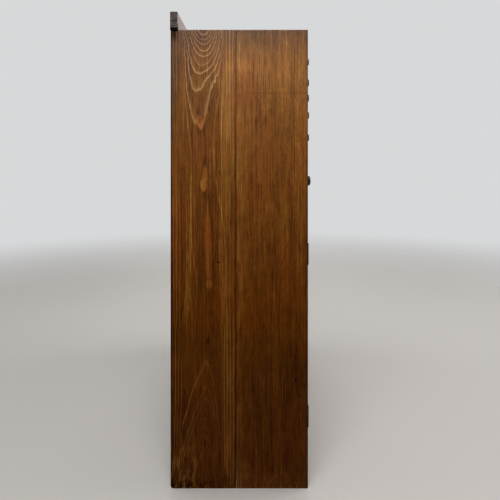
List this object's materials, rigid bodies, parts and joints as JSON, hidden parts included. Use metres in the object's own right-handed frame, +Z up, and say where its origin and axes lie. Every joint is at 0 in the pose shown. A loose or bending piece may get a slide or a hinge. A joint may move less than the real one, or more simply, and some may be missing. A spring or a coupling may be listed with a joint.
{
  "type": "haberdashery cabinet",
  "caption": "Tall, shallow pine cabinet: rows of small knobbed drawers over deep drawers over a cupboard with framed doors, with a low upstand behind the top.",
  "frame": {"origin": "on the floor, at the centre of the whole cabinet's footprint, knobs and upstand included", "axes": "+X along the length to the viewer's right when facing the front, -Y out of the front, +Z up"},
  "size_m": [0.904, 0.3382, 1.089],
  "materials": {
    "rear_end_board": "stained pine, worn satin",
    "front_end_board": "stained pine, worn satin",
    "top_wood": "stained pine, worn satin",
    "shelf_wood": "stained pine",
    "divider_wood": "stained pine",
    "rail_wood": "stained pine",
    "runner_wood": "bare pine",
    "back_wood": "rough pine",
    "upstand_wood": "dark stained pine",
    "plinth_wood": "stained pine, scuffed",
    "hinge_iron": "dull cast iron",
    "drawer_wood": "stained pine front, bare box",
    "small_knob_wood": "dark turned wood, polished",
    "large_knob_wood": "black turned wood, polished",
    "door_frame_wood": "stained pine",
    "door_panel_wood": "stained pine"
  },
  "bodies": {
    "carcase": {"side_left_rear_board": "rear_end_board", "side_left_front_board": "front_end_board", "side_right_rear_board": "rear_end_board", "side_right_front_board": "front_end_board", "top_board": "top_wood", "drawer_deck": "shelf_wood", "middle_shelf": "shelf_wood", "cupboard_shelf": "shelf_wood", "bottom_board": "shelf_wood", "column_dividers": "divider_wood", "centre_divider": "divider_wood", "drawer_rails": "rail_wood", "drawer_runners": "runner_wood", "back_boards": "back_wood", "upstand": "upstand_wood", "plinth_board": "plinth_wood", "door_stop": "runner_wood", "hinge_fixed_leaves": "hinge_iron"},
    "drawer_1_1": {"drawer_1_1": "drawer_wood", "drawer_1_1_knob": "small_knob_wood"},
    "drawer_1_2": {"drawer_1_2": "drawer_wood", "drawer_1_2_knob": "small_knob_wood"},
    "drawer_1_3": {"drawer_1_3": "drawer_wood", "drawer_1_3_knob": "small_knob_wood"},
    "drawer_2_1": {"drawer_2_1": "drawer_wood", "drawer_2_1_knob": "small_knob_wood"},
    "drawer_2_2": {"drawer_2_2": "drawer_wood", "drawer_2_2_knob": "small_knob_wood"},
    "drawer_2_3": {"drawer_2_3": "drawer_wood", "drawer_2_3_knob": "small_knob_wood"},
    "drawer_3_1": {"drawer_3_1": "drawer_wood", "drawer_3_1_knob": "small_knob_wood"},
    "drawer_3_2": {"drawer_3_2": "drawer_wood", "drawer_3_2_knob": "small_knob_wood"},
    "drawer_3_3": {"drawer_3_3": "drawer_wood", "drawer_3_3_knob": "small_knob_wood"},
    "drawer_4_1": {"drawer_4_1": "drawer_wood", "drawer_4_1_knob": "small_knob_wood"},
    "drawer_4_2": {"drawer_4_2": "drawer_wood", "drawer_4_2_knob": "small_knob_wood"},
    "drawer_4_3": {"drawer_4_3": "drawer_wood", "drawer_4_3_knob": "small_knob_wood"},
    "drawer_5_1": {"drawer_5_1": "drawer_wood", "drawer_5_1_knob": "small_knob_wood"},
    "drawer_5_2": {"drawer_5_2": "drawer_wood", "drawer_5_2_knob": "small_knob_wood"},
    "drawer_5_3": {"drawer_5_3": "drawer_wood", "drawer_5_3_knob": "small_knob_wood"},
    "wide_drawer_1": {"wide_drawer_1": "drawer_wood", "wide_drawer_1_knobs": "large_knob_wood"},
    "wide_drawer_2": {"wide_drawer_2": "drawer_wood", "wide_drawer_2_knobs": "large_knob_wood"},
    "door_left": {"door_left_frame": "door_frame_wood", "door_left_panel": "door_panel_wood", "door_left_knob": "large_knob_wood", "door_left_hinge_leaves": "hinge_iron"},
    "door_right": {"door_right_frame": "door_frame_wood", "door_right_panel": "door_panel_wood", "door_right_knob": "large_knob_wood", "door_right_hinge_leaves": "hinge_iron"}
  },
  "joints": [
    {"name": "drawer_1_1_slide", "type": "slide", "parent": "carcase", "child": "drawer_1_1", "axis": [0, -1, 0], "range_m": [0, 0.24]},
    {"name": "drawer_1_2_slide", "type": "slide", "parent": "carcase", "child": "drawer_1_2", "axis": [0, -1, 0], "range_m": [0, 0.24]},
    {"name": "drawer_1_3_slide", "type": "slide", "parent": "carcase", "child": "drawer_1_3", "axis": [0, -1, 0], "range_m": [0, 0.24]},
    {"name": "drawer_2_1_slide", "type": "slide", "parent": "carcase", "child": "drawer_2_1", "axis": [0, -1, 0], "range_m": [0, 0.24]},
    {"name": "drawer_2_2_slide", "type": "slide", "parent": "carcase", "child": "drawer_2_2", "axis": [0, -1, 0], "range_m": [0, 0.24]},
    {"name": "drawer_2_3_slide", "type": "slide", "parent": "carcase", "child": "drawer_2_3", "axis": [0, -1, 0], "range_m": [0, 0.24]},
    {"name": "drawer_3_1_slide", "type": "slide", "parent": "carcase", "child": "drawer_3_1", "axis": [0, -1, 0], "range_m": [0, 0.24]},
    {"name": "drawer_3_2_slide", "type": "slide", "parent": "carcase", "child": "drawer_3_2", "axis": [0, -1, 0], "range_m": [0, 0.24]},
    {"name": "drawer_3_3_slide", "type": "slide", "parent": "carcase", "child": "drawer_3_3", "axis": [0, -1, 0], "range_m": [0, 0.24]},
    {"name": "drawer_4_1_slide", "type": "slide", "parent": "carcase", "child": "drawer_4_1", "axis": [0, -1, 0], "range_m": [0, 0.24]},
    {"name": "drawer_4_2_slide", "type": "slide", "parent": "carcase", "child": "drawer_4_2", "axis": [0, -1, 0], "range_m": [0, 0.24]},
    {"name": "drawer_4_3_slide", "type": "slide", "parent": "carcase", "child": "drawer_4_3", "axis": [0, -1, 0], "range_m": [0, 0.24]},
    {"name": "drawer_5_1_slide", "type": "slide", "parent": "carcase", "child": "drawer_5_1", "axis": [0, -1, 0], "range_m": [0, 0.24]},
    {"name": "drawer_5_2_slide", "type": "slide", "parent": "carcase", "child": "drawer_5_2", "axis": [0, -1, 0], "range_m": [0, 0.24]},
    {"name": "drawer_5_3_slide", "type": "slide", "parent": "carcase", "child": "drawer_5_3", "axis": [0, -1, 0], "range_m": [0, 0.24]},
    {"name": "wide_drawer_1_slide", "type": "slide", "parent": "carcase", "child": "wide_drawer_1", "axis": [0, -1, 0], "range_m": [0, 0.24]},
    {"name": "wide_drawer_2_slide", "type": "slide", "parent": "carcase", "child": "wide_drawer_2", "axis": [0, -1, 0], "range_m": [0, 0.24]},
    {"name": "door_left_hinge", "type": "hinge", "parent": "carcase", "child": "door_left", "pos_m": [-0.4315, -0.1469, 0.3435], "axis": [0, 0, -1], "range_deg": [0, 165]},
    {"name": "door_right_hinge", "type": "hinge", "parent": "carcase", "child": "door_right", "pos_m": [0.4315, -0.1469, 0.3435], "axis": [0, 0, 1], "range_deg": [0, 165]}
  ]
}
